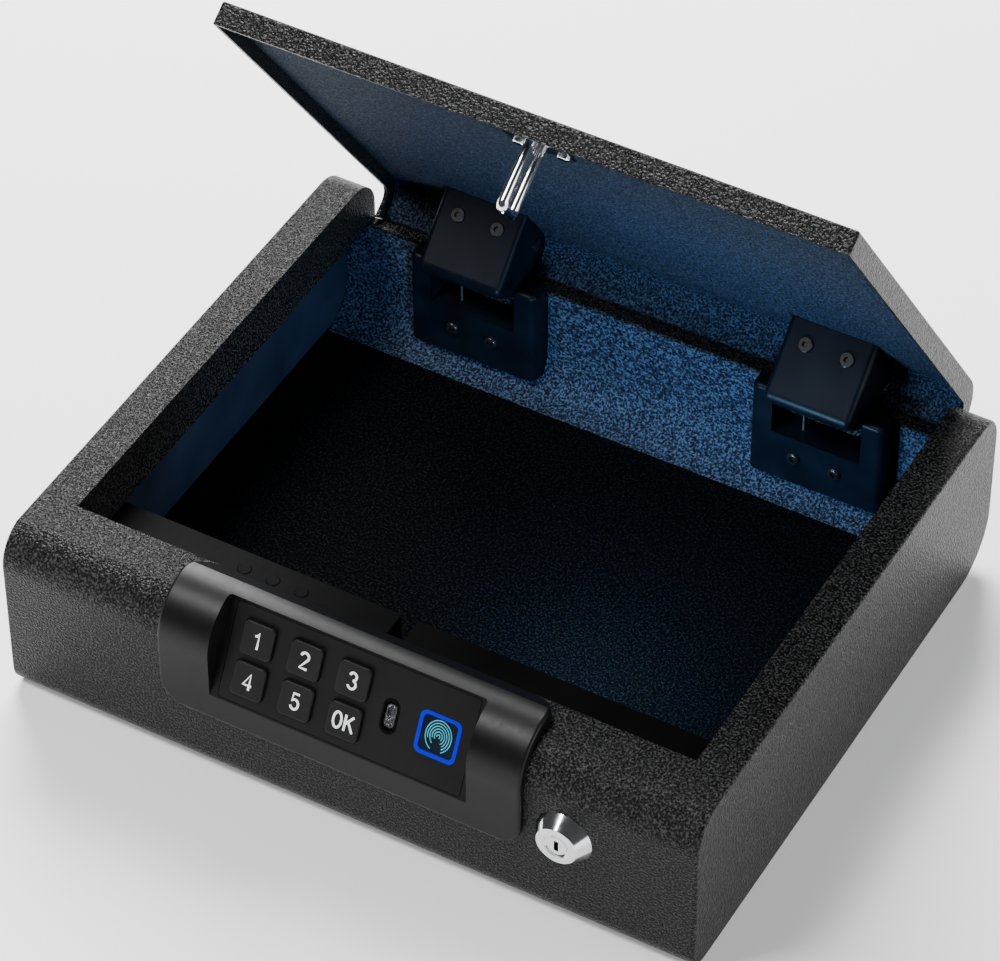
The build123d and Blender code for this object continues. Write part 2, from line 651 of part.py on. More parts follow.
# ---------------------------------------------------------------- control housing
def control_housing():
    """Moulded cover behind the front wall: top, rear wall, ends and the striker's pocket."""
    inner_top = HOUSING_TOP - HOUSING_WALL
    inner_rear = HOUSING_REAR - HOUSING_WALL
    front = OPENING_FRONT + FIT
    housing = block(-HOUSING_HALF, HOUSING_HALF, 18.0, HOUSING_REAR, 1.9, HOUSING_TOP - 0.2)
    housing += block(-HOUSING_HALF, HOUSING_HALF, front, HOUSING_REAR, 50.0, HOUSING_TOP)
    housing -= block(HOUSING_WALL - HOUSING_HALF, HOUSING_HALF - HOUSING_WALL, 0, inner_rear,
                     0, inner_top)
    housing -= block(-HOUSING_HALF, HOUSING_HALF, 0, front, 50.0, HEIGHT)
    wall = HOUSING_WALL
    housing += block(NOTCH_LEFT - wall, NOTCH_RIGHT + wall, NOTCH_FRONT - wall, HOUSING_REAR,
                     NOTCH_BOTTOM - wall, HOUSING_TOP)
    housing -= block(NOTCH_LEFT, NOTCH_RIGHT, NOTCH_FRONT, HOUSING_REAR + 5, NOTCH_BOTTOM, HEIGHT)
    housing -= block(NOTCH_LEFT - 5, NOTCH_RIGHT + 5, BOLT_FRONT - FIT, BOLT_REAR + FIT,
                     BOLT_TIP_BOTTOM - FIT, BOLT_TIP_TOP + FIT)
    for x in button_places():
        housing -= rod_z(x, BUTTON_Y, BUTTON_R + 0.15, HOUSING_TOP - 5, HEIGHT)
    housing -= block(BATTERY_LEFT, BATTERY_RIGHT, inner_rear - 1, HOUSING_REAR + 1,
                     BATTERY_BOTTOM, BATTERY_TOP)
    housing -= block(LIGHT_LEFT, LIGHT_RIGHT, inner_rear - 1, HOUSING_REAR + 1,
                     LIGHT_BOTTOM, LIGHT_TOP)
    for x in HOUSING_SCREW_X:
        housing -= rod_y(x, HOUSING_SCREW_Z, 1.7, inner_rear - 1, HOUSING_REAR + 1)
    return housing


def button_places():
    return [BUTTON_X + step * BUTTON_PITCH for step in (-1, 0, 1)]


def button(x):
    """Small flush push button with a flange that stops it from falling out."""
    cap = rod_z(x, BUTTON_Y, BUTTON_R, HOUSING_TOP - 3.0, HOUSING_TOP + 0.3)
    cap = fillet(cap.edges().sort_by(Axis.Z)[-1], 0.3)
    flange = rod_z(x, BUTTON_Y, BUTTON_R + 1.2, HOUSING_TOP - 3.2, HOUSING_TOP - HOUSING_WALL - 0.1)
    stem = rod_z(x, BUTTON_Y, 1.2, HOUSING_TOP - 4.6, HOUSING_TOP - 3.0)
    return cap + flange + stem


def button_board():
    """Small circuit board under the three buttons, with a switch below each stem."""
    top = HOUSING_TOP - 8.6
    board = block(BUTTON_X - 20, BUTTON_X + 20, BUTTON_Y - 6, BUTTON_Y + 5, top - 1.6, top)
    for x in button_places():
        board += block(x - 2.2, x + 2.2, BUTTON_Y - 2.2, BUTTON_Y + 2.2, top, top + 3.0)
    return board


def housing_screws():
    screws = []
    for x in HOUSING_SCREW_X:
        head = rod_y(x, HOUSING_SCREW_Z, 2.8, HOUSING_REAR, HOUSING_REAR + 1.4)
        head = fillet(head.edges().sort_by(Axis.Y)[-1], 1.0)
        screws.append(head + rod_y(x, HOUSING_SCREW_Z, 1.5, HOUSING_REAR - 10, HOUSING_REAR))
    return screws


def housing_posts():
    """Tapped brackets welded to the floor; the housing's screws go into them."""
    posts = []
    for x in HOUSING_SCREW_X:
        inner_rear = HOUSING_REAR - HOUSING_WALL - 0.1
        half = 2.2 if abs(x) > 100 else 5.0
        foot = block(x - half, x + half, inner_rear - 16, inner_rear, STEEL, STEEL + 2)
        tab = block(x - half, x + half, inner_rear - 2, inner_rear, STEEL, HOUSING_SCREW_Z + 5)
        posts.append(foot + tab - rod_y(x, HOUSING_SCREW_Z, 1.55, 0, HOUSING_REAR))
    return posts


# ---------------------------------------------------------------- keypad bezel
def bezel_profile():
    """Side view of the bezel's outer skin and everything behind it."""
    bend = (BEZEL_BEND_R - BEZEL_PROUD, FRONT_TOP_CENTRE_Z)
    return closed_face([
        Line((20.0, BEZEL_BOTTOM), (1.0 - BEZEL_PROUD, BEZEL_BOTTOM)),
        Line((-BEZEL_PROUD, BEZEL_BOTTOM + 2.0), (-BEZEL_PROUD, FRONT_TOP_CENTRE_Z)),
        arc(bend, BEZEL_BEND_R, 180, 80),
        Line((BEZEL_REAR - 0.5, HEIGHT + 1.4), (BEZEL_REAR, HEIGHT)),
        Line((BEZEL_REAR, HEIGHT - 10), (20.0, HEIGHT - 10)),
    ])


def keypad_tray(margin):
    """Volume of the moulded tray that hangs behind the keypad plate."""
    half = RECESS_HALF + TRAY_WALL + margin
    height = PLATE_HEIGHT + 2 * (RECESS_MARGIN + TRAY_WALL + margin)
    return on_keypad(0, PLATE_HEIGHT / 2, 12.0, 2 * half, height, 12.0 + TRAY_DEPTH)


def keypad_hole():
    """Cut-out in the steel for the tray, kept in front of the opening's flange."""
    return keypad_tray(0.4) & block(-WIDTH, WIDTH, -20, OPENING_FRONT - STEEL, 0, HEIGHT + 20)


def bezel_outer_edges(skin):
    """Edges of the side and bottom outline that stand proud of the body."""
    chosen = []
    for edge in skin.edges():
        middle = edge @ 0.5
        proud = middle.Y - FRONT < 15 or middle.Z > HEIGHT + 1
        at_side = abs(middle.X) > BEZEL_HALF - BEZEL_CORNER_R - 1
        at_bottom = middle.Z < BEZEL_BOTTOM + 2.5
        if proud and (at_side or at_bottom):
            chosen.append(edge)
    return chosen


def bezel():
    """Soft moulding over the front edge, with the recess and tray for the keypad plate."""
    skin = along_x(bezel_profile(), -BEZEL_HALF, BEZEL_HALF)
    front_view = fillet(Rectangle(2 * BEZEL_HALF, 100).vertices(), BEZEL_CORNER_R)
    front_plane = Plane((0, FRONT - 20, BEZEL_BOTTOM + 50), x_dir=(1, 0, 0), z_dir=(0, 1, 0))
    skin &= extrude(front_plane * front_view, amount=80, dir=(0, 1, 0))
    top_plane = Plane((0, back(BEZEL_REAR - 50), 0), x_dir=(1, 0, 0), z_dir=(0, 0, 1))
    skin &= extrude(top_plane * front_view, amount=120, dir=(0, 0, 1))
    skin = fillet(bezel_outer_edges(skin), BEZEL_EDGE_R)
    skin -= along_x(body_profile(0), -WIDTH / 2, WIDTH / 2)
    inside = along_x(bezel_profile(), -BEZEL_HALF, BEZEL_HALF)
    frame = keypad_tray(0) & inside
    frame &= block(-WIDTH, WIDTH, -20, OPENING_FRONT - STEEL - 0.2, 0, HEIGHT + 20)
    recess_height = PLATE_HEIGHT + 2 * RECESS_MARGIN
    middle = PLATE_HEIGHT / 2
    shape = skin + frame
    shape -= on_keypad(0, middle, 15.0, 2 * RECESS_HALF, recess_height, 15.0, 1.5)
    shape -= on_keypad(0, middle, 1.0, 2 * PLATE_HALF + 0.5, PLATE_HEIGHT + 0.5, PLATE_T + 1.0, 1.2)
    shape -= on_keypad(0, middle, -PLATE_T, 2 * PLATE_HALF - 3.0, PLATE_HEIGHT - 3.0,
                       TRAY_DEPTH + 5, 1.0)
    return shape


def keypad_plate():
    plate = on_keypad(0, PLATE_HEIGHT / 2, 0, 2 * PLATE_HALF, PLATE_HEIGHT, PLATE_T - 0.05, 1.0)
    for x in KEY_COLUMNS:
        for v in KEY_ROWS:
            plate -= on_keypad(x, v, 1, KEY_W + 0.6, KEY_H + 0.6, 5, KEY_R + 0.3)
    plate -= on_keypad(USB_X, USB_V, 1, 7.4, 15.0, 5, 3.6)
    plate -= on_keypad(SENSOR_X, SENSOR_V, 1, SENSOR_W + 0.2, SENSOR_W + 0.2, 5, 3.1)
    return plate


def key(x, v):
    """Key cap with a flange behind the plate and a stem over its switch."""
    cap = on_keypad(x, v, KEY_PROUD, KEY_W, KEY_H, KEY_PROUD + PLATE_T + 0.3, KEY_R)
    cap = fillet(top_edges(cap), 0.5)
    flange = on_keypad(x, v, -PLATE_T - 0.1, KEY_W + 2.2, KEY_H + 2.2, 0.9, KEY_R)
    stem = on_keypad(x, v, -PLATE_T - 0.9, 4.0, 4.0, 1.3)
    return cap + flange + stem


def top_edges(shape):
    """Edges of the face that looks straight out of the keypad."""
    faces = shape.faces()
    outermost = max(faces, key=lambda face: face.center().dot(KEYPAD.z_dir))
    return outermost.edges()


def control_board():
    """Main circuit board behind the keypad, with a switch under each key."""
    board = on_keypad(-1.0, PLATE_HEIGHT / 2, -8.4, 100.0, 36.0, 1.6)
    for x in KEY_COLUMNS:
        for v in KEY_ROWS:
            board += on_keypad(x, v, -5.4, 5.0, 5.0, 3.2)
    for x, v, w, h, t in ((-42, 20, 12, 6, 1.6), (0, 20, 9, 9, 1.2), (28, 6, 10, 5, 4.0)):
        board += on_keypad(x, v, -10.0 + 0.1, w * 0.8, h * 0.5, t * 0.5 + 0.1)
    return board


def usb_port():
    """Emergency power socket: a metal shell round a tongue, in the keypad plate."""
    shell = on_keypad(USB_X, USB_V, -0.8, 4.2, 9.6, 7.4, 1.6)
    shell -= on_keypad(USB_X, USB_V, 0, 3.2, 8.6, 6.6, 1.3)
    shell += on_keypad(USB_X, USB_V, -2.2, 0.8, 6.4, 5.6)
    return shell


def usb_surround():
    """Oval sleeve that lines the plate's socket hole."""
    sleeve = on_keypad(USB_X, USB_V, 0.2, 7.2, 14.8, 5.0, 3.5)
    sleeve -= on_keypad(USB_X, USB_V, 1, 4.4, 9.8, 8, 1.7)
    sleeve -= on_keypad(USB_X, USB_V, 1, 5.8, 12.4, 2.0, 2.7)
    return sleeve


def sensor_ring():
    """Light guide round the fingerprint reader."""
    ring = on_keypad(SENSOR_X, SENSOR_V, 0.15, SENSOR_W, SENSOR_W, 2.0, 3.0)
    inner = SENSOR_W - 2 * SENSOR_RING
    return ring - on_keypad(SENSOR_X, SENSOR_V, 1, inner, inner, 4, 2.0)


def sensor_window():
    size = SENSOR_W - 2 * SENSOR_RING - 0.1
    window = on_keypad(SENSOR_X, SENSOR_V, -0.5, size, size, 1.3, 1.9)
    return window


def sensor_module():
    """Reader module behind the window."""
    size = SENSOR_W - 2 * SENSOR_RING - 0.4
    module = on_keypad(SENSOR_X, SENSOR_V, -1.85, size, size, 4.0, 1.5)
    return module + on_keypad(SENSOR_X, SENSOR_V, -2.0, SENSOR_W + 1, SENSOR_W + 1, 1.5, 1.5)


# ---------------------------------------------------------------- key lock
def lock_bezel():
    """Polished cone round the lock, with its sleeve through the steel."""
    cone = Plane((LOCK_X, FRONT, LOCK_Z), z_dir=(0, -1, 0)) * Pos(0, 0, LOCK_PROUD / 2) * Cone(
        LOCK_BASE_R, LOCK_FACE_R, LOCK_PROUD)
    cone = fillet(cone.edges().sort_by(Axis.Y)[0], 0.4)
    cone += rod_y(LOCK_X, LOCK_Z, LOCK_BODY_R, 0, LOCK_BODY_LENGTH)
    cone -= rod_y(LOCK_X, LOCK_Z, PLUG_R + PIN_PLAY, -LOCK_PROUD - 1, LOCK_BODY_LENGTH + 1)
    cone -= rod_y(LOCK_X, LOCK_Z, PLUG_R + 1.3, -LOCK_PROUD - 1, -LOCK_PROUD + 1.1)
    return cone


def lock_nut():
    """Hexagon nut that clamps the lock to the front wall."""
    outline = RegularPolygon(12.6, 6)
    plane = Plane((LOCK_X, back(STEEL), LOCK_Z), z_dir=(0, 1, 0))
    nut = extrude(plane * outline, amount=4.0, dir=(0, 1, 0))
    return nut - rod_y(LOCK_X, LOCK_Z, LOCK_BODY_R + 0.05, 0, 20)


def crank_pin(x, z, y0, y1):
    """Crank pin at rest: 45 degrees towards +X from straight down."""
    offset = CRANK_R * sin(radians(45))
    return rod_y(x + offset, z - offset, CRANK_PIN_R, y0, y1)


def crank(x, z, shaft_r, shaft_front):
    """Shaft, disc and pin that throw the bolt."""
    disc_front = BOLT_FRONT - 3.0
    disc = rod_y(x, z, CRANK_R + CRANK_PIN_R + 0.8, disc_front, BOLT_FRONT - 0.6)
    keep = block(x - 3.5, x + 20, 0, HOUSING_REAR, z - 20, z + 3.5)
    disc &= keep
    shaft = rod_y(x, z, shaft_r, shaft_front, disc_front + 0.5)
    return shaft + disc + crank_pin(x, z, BOLT_FRONT - 1, BOLT_REAR)


def key_plug():
    """Turning core with the keyway, seen in the cone's face."""
    plug = rod_y(LOCK_X, LOCK_Z, PLUG_R, -LOCK_PROUD + 0.3, LOCK_BODY_LENGTH)
    keyway = block(LOCK_X - 0.95, LOCK_X + 0.95, -LOCK_PROUD - 1, LOCK_BODY_LENGTH - 4,
                   LOCK_Z - 2.6, LOCK_Z + 2.6)
    return plug - keyway


def key_crank():
    return crank(LOCK_X, LOCK_Z, 3.0, LOCK_BODY_LENGTH)


# ---------------------------------------------------------------- latch
def slot(x, z):
    """Upright slot in the bolt plate that a crank pin works in."""
    offset = CRANK_R * sin(radians(45))
    half = CRANK_PIN_R + CRANK_SLOT_PLAY
    low = z - CRANK_R - half
    high = z - offset + half + 0.6
    return block(x + offset - half, x + offset + half, 0, DEPTH, low, high)


def latch_bolt():
    """Flat bolt drawn back, its tip level with the pocket's wall."""
    tip = NOTCH_RIGHT + FIT
    bolt = block(tip, 36.0, BOLT_FRONT, BOLT_REAR, BOLT_TIP_BOTTOM, BOLT_TIP_TOP)
    bolt += block(30.0, 116.0, BOLT_FRONT, BOLT_REAR, 31.5, 44.5)
    bolt += block(30.0, 38.0, BOLT_FRONT, BOLT_REAR, 31.5, BOLT_TIP_TOP)
    bolt += block(112.0, 132.0, BOLT_FRONT, BOLT_REAR, 35.0, 41.0)
    bolt -= slot(MOTOR_X, MOTOR_Z)
    bolt -= slot(LOCK_X, LOCK_Z)
    return bolt


def bolt_guides():
    """Two steel loops on the housing's rear wall that keep the bolt level."""
    guides = []
    for x0, x1, z0, z1 in GUIDES:
        top = min(z1 + 1.8, HOUSING_TOP - HOUSING_WALL - 0.1)
        outer = block(x0, x1, BOLT_FRONT - 1.8, HOUSING_REAR - HOUSING_WALL - 0.05, z0 - 1.8, top)
        window = block(x0 - 1, x1 + 1, BOLT_FRONT - 0.2, BOLT_REAR + 0.2, z0 - 0.2, z1 + 0.2)
        guides.append(outer - window)
    return guides


def latch_motor():
    """Gear motor: flat-sided can with a square gearbox towards the bolt."""
    can = rod_y(MOTOR_X, MOTOR_Z, 7.0, 30.0, 44.0)
    can &= block(MOTOR_X - 7, MOTOR_X + 7, 0, DEPTH, MOTOR_Z - 5.5, MOTOR_Z + 5.5)
    gearbox = block(MOTOR_X - 6.5, MOTOR_X + 6.5, 43.9, 52.0, MOTOR_Z - 6.5, MOTOR_Z + 6.5)
    gearbox -= rod_y(MOTOR_X, MOTOR_Z, 1.55, 46.0, 60.0)
    return can + gearbox


def motor_crank():
    return crank(MOTOR_X, MOTOR_Z, 1.5, 47.0)


def motor_bracket():
    """Folded steel plate that ties the motor to the floor."""
    plate = block(MOTOR_X - 11, MOTOR_X + 11, 41.0, 43.0, STEEL, MOTOR_Z + 8)
    plate += block(MOTOR_X - 11, MOTOR_X + 11, 30.0, 43.0, STEEL, STEEL + 2)
    return plate - rod_y(MOTOR_X, MOTOR_Z, 7.05, 0, DEPTH)


# ---------------------------------------------------------------- cells and light strip
def cell_places():
    y_rear = HOUSING_REAR - HOUSING_WALL - 1.2 - CELL_R
    z_low = BATTERY_BOTTOM + 2.4 + CELL_R
    pitch = 2 * CELL_R + 0.4
    return [(y_rear - row * pitch, z_low + level * pitch) for row in (0, 1) for level in (0, 1)]


def battery_box():
    """Open holder for four cells, loaded from inside the safe."""
    inner_rear = HOUSING_REAR - HOUSING_WALL - 0.2
    front = inner_rear - 4 * CELL_R - 4.6
    box = block(BATTERY_LEFT + 0.3, BATTERY_RIGHT - 0.3, front, inner_rear,
                BATTERY_BOTTOM + 0.2, BATTERY_TOP - 0.2)
    box -= block(BATTERY_LEFT + 2.0, BATTERY_RIGHT - 2.0, front + 1.6, HOUSING_REAR,
                 BATTERY_BOTTOM + 1.8, BATTERY_TOP - 1.8)
    return box


def battery_cells():
    middle = (BATTERY_LEFT + BATTERY_RIGHT) / 2
    cells = []
    for index, (y, z) in enumerate(cell_places()):
        way = 1 if index % 2 else -1
        end = middle + way * CELL_LENGTH / 2
        can = rod_x(y, z, CELL_R, middle - CELL_LENGTH / 2, middle + CELL_LENGTH / 2)
        cells.append(can + rod_x(y, z, 2.7, end - way * 0.5, end + way * 1.2))
    return cells


def battery_cover():
    cover = block(BATTERY_LEFT + 0.2, BATTERY_RIGHT - 0.2, HOUSING_REAR - HOUSING_WALL + 0.1,
                  HOUSING_REAR + 0.3, BATTERY_BOTTOM + 0.2, BATTERY_TOP - 0.2)
    return fillet(cover.edges().filter_by(Axis.Y), 1.5)


def interior_light():
    """Light strip in the housing's rear wall, over the floor."""
    lens = block(LIGHT_LEFT + 0.1, LIGHT_RIGHT - 0.1, HOUSING_REAR - HOUSING_WALL + 0.1,
                 HOUSING_REAR + 0.8, LIGHT_BOTTOM + 0.1, LIGHT_TOP - 0.1)
    return fillet(lens.edges().filter_by(Axis.X).sort_by(Axis.Y)[-2:], 0.6)


# ---------------------------------------------------------------- all nodes
def build_nodes():
    nodes = {
        "body_shell": body_shell(),
        "floor_liner": floor_liner(),
        "left_liner": side_liner(-1),
        "right_liner": side_liner(1),
        "rear_liner": rear_liner(),
        "hinge_base_screws": group(base_screws()),
        "lid_panel": opened(lid_panel()),
        "lid_liner": opened(lid_liner()),
        "striker_plate": opened(striker_plate()),
        "striker_loop": opened(striker_loop()),
        "striker_screws": group([opened(screw) for screw in striker_screws()]),
        "hinge_cover_screws": group([opened(screw) for screw in cover_screws()]),
        "hinge_cheek_rivets": group([opened(rivet) for rivet in cheek_rivets()]),
        "control_housing": control_housing(),
        "housing_screws": group(housing_screws()),
        "housing_brackets": group(housing_posts()),
        "button_board": button_board(),
        "bezel": bezel(),
        "keypad_plate": keypad_plate(),
        "control_board": control_board(),
        "usb_port": usb_port(),
        "usb_surround": usb_surround(),
        "sensor_ring": sensor_ring(),
        "sensor_window": sensor_window(),
        "sensor_module": sensor_module(),
        "lock_bezel": lock_bezel(),
        "lock_nut": lock_nut(),
        "key_plug": key_plug(),
        "key_crank": key_crank(),
        "latch_bolt": latch_bolt(),
        "bolt_guides": group(bolt_guides()),
        "latch_motor": latch_motor(),
        "motor_crank": motor_crank(),
        "motor_bracket": motor_bracket(),
        "battery_box": battery_box(),
        "battery_cells": group(battery_cells()),
        "battery_cover": battery_cover(),
        "interior_light": interior_light(),
    }
    for side, name in ((-1, "left"), (1, "right")):
        nodes[name + "_hinge_base"] = hinge_base(side)
        nodes[name + "_hinge_pin"] = hinge_pin(side)
        nodes[name + "_hinge_spring"] = hinge_spring(side)
        nodes[name + "_hinge_cover"] = opened(hinge_cover(side))
        nodes[name + "_hinge_leaf"] = opened(hinge_leaf(side))
    for name, x in zip(("program_button", "reset_button", "erase_button"), button_places()):
        nodes[name] = button(x)
    labels = (("key_1", "key_2", "key_3"), ("key_4", "key_5", "key_ok"))
    for row, v in zip(labels, KEY_ROWS):
        for name, x in zip(row, KEY_COLUMNS):
            nodes[name] = key(x, v)
    return nodes


def main():
    os.makedirs("parts", exist_ok=True)
    for name, shape in build_nodes().items():
        shape.label = name
        export_step(shape, f"parts/{name}.step")


main()
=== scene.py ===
import json
import math

import bmesh
import bpy
from mathutils import Matrix, Vector


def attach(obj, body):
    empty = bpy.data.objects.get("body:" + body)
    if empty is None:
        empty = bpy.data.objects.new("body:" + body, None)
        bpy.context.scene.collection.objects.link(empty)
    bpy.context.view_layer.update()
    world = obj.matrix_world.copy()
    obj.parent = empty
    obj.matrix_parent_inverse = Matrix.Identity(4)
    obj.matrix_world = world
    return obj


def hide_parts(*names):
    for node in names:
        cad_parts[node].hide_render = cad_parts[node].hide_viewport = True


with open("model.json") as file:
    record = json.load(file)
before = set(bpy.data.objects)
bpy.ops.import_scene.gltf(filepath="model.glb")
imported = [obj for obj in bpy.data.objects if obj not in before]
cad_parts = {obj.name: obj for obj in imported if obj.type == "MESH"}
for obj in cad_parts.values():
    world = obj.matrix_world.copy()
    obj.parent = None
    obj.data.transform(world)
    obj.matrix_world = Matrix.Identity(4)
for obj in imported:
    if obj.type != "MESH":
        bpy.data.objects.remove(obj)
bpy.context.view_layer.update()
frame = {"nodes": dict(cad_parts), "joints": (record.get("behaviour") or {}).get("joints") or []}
NODES = frame["nodes"]
MM = 0.001

# ---------------------------------------------------------------- camera and light
CAMERA_AT = (0.669236, -1.183390, 1.411839)
CAMERA_RIGHT = (0.87061, 0.49197, -0.00226)
CAMERA_UP = (-0.34313, 0.61050, 0.71383)
CAMERA_BACK = (0.35256, -0.62069, 0.70032)
CAMERA_LENS = 172.3
CAMERA_SENSOR = 36.0
CAMERA_CLIP_END = 20.0

# name, position, aimed at, width, height, power in watts, colour
LAMPS = (
    ("rear_softbox", (-0.75, 1.08, 1.27), (-0.05, 0.0, 0.08), 1.1, 0.9, 115.0, (1.0, 1.0, 1.0)),
    ("right_softbox", (1.50, -0.10, 0.60), (0.1, 0.0, 0.04), 0.9, 0.9, 16.0, (1.0, 1.0, 1.0)),
    ("left_softbox", (-0.48, -0.62, 1.36), (0.0, 0.0, 0.22), 0.4, 0.4, 22.0, (1.0, 1.0, 1.0)),
    ("inside_glow", (0.045, -0.055, 0.056), (0.060, 0.120, 0.062), 0.05, 0.02, 0.65, (0.32, 0.62, 1.0)),
)
WORLD_COLOUR = (0.95, 0.97, 1.0)
WORLD_STRENGTH = 0.06
FLOOR_HALF = 3.0
FLOOR_DROP = 0.2 * MM           # keeps the floor clear of the safe's underside
FLOOR_GLOW = 0.25


def add_camera():
    data = bpy.data.cameras.new("camera")
    data.lens = CAMERA_LENS
    data.sensor_width = CAMERA_SENSOR
    data.clip_end = CAMERA_CLIP_END
    camera = bpy.data.objects.new("camera", data)
    bpy.context.scene.collection.objects.link(camera)
    turn = Matrix((CAMERA_RIGHT, CAMERA_UP, CAMERA_BACK)).transposed().to_4x4()
    camera.matrix_world = Matrix.Translation(CAMERA_AT) @ turn
    bpy.context.scene.camera = camera


def add_lamps():
    for name, at, aim, width, height, power, colour in LAMPS:
        data = bpy.data.lights.new(name, "AREA")
        data.shape = "RECTANGLE"
        data.size = width
        data.size_y = height
        data.energy = power
        data.color = colour
        lamp = bpy.data.objects.new(name, data)
        bpy.context.scene.collection.objects.link(lamp)
        direction = Vector(aim) - Vector(at)
        lamp.location = at
        lamp.rotation_euler = direction.to_track_quat("-Z", "Y").to_euler()
    world = bpy.data.worlds.new("studio")
    world.use_nodes = True
    background = world.node_tree.nodes["Background"]
    background.inputs["Color"].default_value = (*WORLD_COLOUR, 1.0)
    background.inputs["Strength"].default_value = WORLD_STRENGTH
    bpy.context.scene.world = world


def add_floor():
    mesh = bpy.data.meshes.new("floor")
    half = FLOOR_HALF
    corners = [(-half, -half, 0), (half, -half, 0), (half, half, 0), (-half, half, 0)]
    mesh.from_pydata(corners, [], [(0, 1, 2, 3)])
    floor = bpy.data.objects.new("floor", mesh)
    bpy.context.scene.collection.objects.link(floor)
    floor.location.z = -FLOOR_DROP
    paint = Shader("studio_floor", (0.88, 0.88, 0.88), 0.7)
    paint.bump(paint.noise(6.0, 2.0), 0.02, 0.001)
    paint.glow((1.0, 1.0, 1.0), FLOOR_GLOW)
    mesh.materials.append(paint.material)


# ---------------------------------------------------------------- shader building
class Shader:
    """A principled material with short calls for its procedural detail."""

    def __init__(self, name, colour, roughness, metallic=0.0, specular=0.5):
        self.material = bpy.data.materials.new(name)
        self.material.use_nodes = True
        self.tree = self.material.node_tree
        self.shader = self.tree.nodes["Principled BSDF"]
        self.put("Base Color", (*colour, 1.0))
        self.put("Roughness", roughness)
        self.put("Metallic", metallic)
        self.put("Specular IOR Level", specular)
        self.coords = self.tree.nodes.new("ShaderNodeTexCoord").outputs["Object"]
        self.last_bump = None

    def put(self, socket, value):
        self.shader.inputs[socket].default_value = value

    def link(self, out, into):
        self.tree.links.new(out, into)

    def stretched(self, scale):
        """Object coordinates scaled differently along each axis."""
        node = self.tree.nodes.new("ShaderNodeMapping")
        node.inputs["Scale"].default_value = scale
        self.link(self.coords, node.inputs["Vector"])
        return node.outputs["Vector"]

    def noise(self, scale, detail=2.0, roughness=0.5, coords=None):
        """Noise with this many features to the metre."""
        node = self.tree.nodes.new("ShaderNodeTexNoise")
        node.inputs["Scale"].default_value = scale
        node.inputs["Detail"].default_value = detail
        node.inputs["Roughness"].default_value = roughness
        self.link(coords or self.coords, node.inputs["Vector"])
        return node.outputs["Fac"]

    def cells(self, scale):
        """Distance from the nearest of this many points to the metre."""
        node = self.tree.nodes.new("ShaderNodeTexVoronoi")
        node.feature = "F1"
        node.inputs["Scale"].default_value = scale
        self.link(self.coords, node.inputs["Vector"])
        return node.outputs["Distance"]

    def ramp(self, value, *stops):
        """Colour ramp; each stop is (position, grey or colour)."""
        node = self.tree.nodes.new("ShaderNodeValToRGB")
        elements = node.color_ramp.elements
        while len(elements) < len(stops):
            elements.new(0.5)
        for element, (position, shade) in zip(elements, stops):
            element.position = position
            rgb = shade if isinstance(shade, tuple) else (shade, shade, shade)
            element.color = (*rgb, 1.0)
        self.link(value, node.inputs["Fac"])
        return node.outputs["Color"]

    def paint(self, value, *stops):
        self.link(self.ramp(value, *stops), self.shader.inputs["Base Color"])

    def vary(self, socket, value, low, high):
        """Drive a socket between low and high by a value from 0 to 1."""
        node = self.tree.nodes.new("ShaderNodeMapRange")
        node.inputs["To Min"].default_value = low
        node.inputs["To Max"].default_value = high
        self.link(value, node.inputs["Value"])
        self.link(node.outputs["Result"], self.shader.inputs[socket])

    def bump(self, height, strength, distance):
        """Add a bump, on top of the earlier ones."""
        node = self.tree.nodes.new("ShaderNodeBump")
        node.inputs["Strength"].default_value = strength
        node.inputs["Distance"].default_value = distance
        self.link(height, node.inputs["Height"])
        if self.last_bump is not None:
            self.link(self.last_bump, node.inputs["Normal"])
        self.last_bump = node.outputs["Normal"]
        self.link(self.last_bump, self.shader.inputs["Normal"])

    def glow(self, colour, strength):
        self.put("Emission Color", (*colour, 1.0))
        self.put("Emission Strength", strength)


# ---------------------------------------------------------------- materials
def powder_coat():
    """Coarse black powder coat: rounded grains about a millimetre across."""
    coat = Shader("powder_coat", (0.012, 0.012, 0.012), 0.36, specular=0.13)
    grain = coat.noise(1050.0, 1.0, 0.5)
    coat.paint(grain, (0.42, (0.0015, 0.0015, 0.0015)), (0.52, (0.006, 0.006, 0.0061)),
               (0.63, (0.046, 0.046, 0.0464)))
    coat.vary("Roughness", coat.noise(300.0, 2.0), 0.30, 0.42)
    coat.bump(coat.noise(95.0, 2.0), 0.15, 0.0008)
    coat.bump(grain, 1.0, 0.0010)
    return coat.material


def foam(name, painted_light_scale):
    """Dark blue-black closed-cell foam with a fine napped surface. Its colours are multiplied by the
    second argument, a painted light level: a value above 1 paints the pad lighter, as if more light fell
    on it.
    """
    pad = Shader(name, (0.01, 0.018, 0.03), 0.85, specular=0.15)
    nap = pad.noise(1000.0, 2.0, 0.6)
    shades = (
        (0.40, (0.001, 0.002, 0.005)),
        (0.50, (0.007, 0.012, 0.022)),
        (0.62, (0.034, 0.050, 0.080)),
    )
    pad.paint(nap, *[(at, tuple(painted_light_scale * part for part in shade)) for at, shade in shades])
    pad.bump(pad.noise(160.0, 2.0), 0.25, 0.0006)
    pad.bump(nap, 0.8, 0.0007)
    return pad.material


def smooth_foam():
    """The plain skin of the side pads."""
    pad = Shader("smooth_foam", (0.01, 0.02, 0.04), 0.75, specular=0.15)
    cloud = pad.noise(35.0, 3.0)
    pad.paint(cloud, (0.35, (0.006, 0.012, 0.026)), (0.70, (0.012, 0.022, 0.044)))
    pad.bump(pad.noise(2200.0, 2.0), 0.20, 0.0002)
    return pad.material


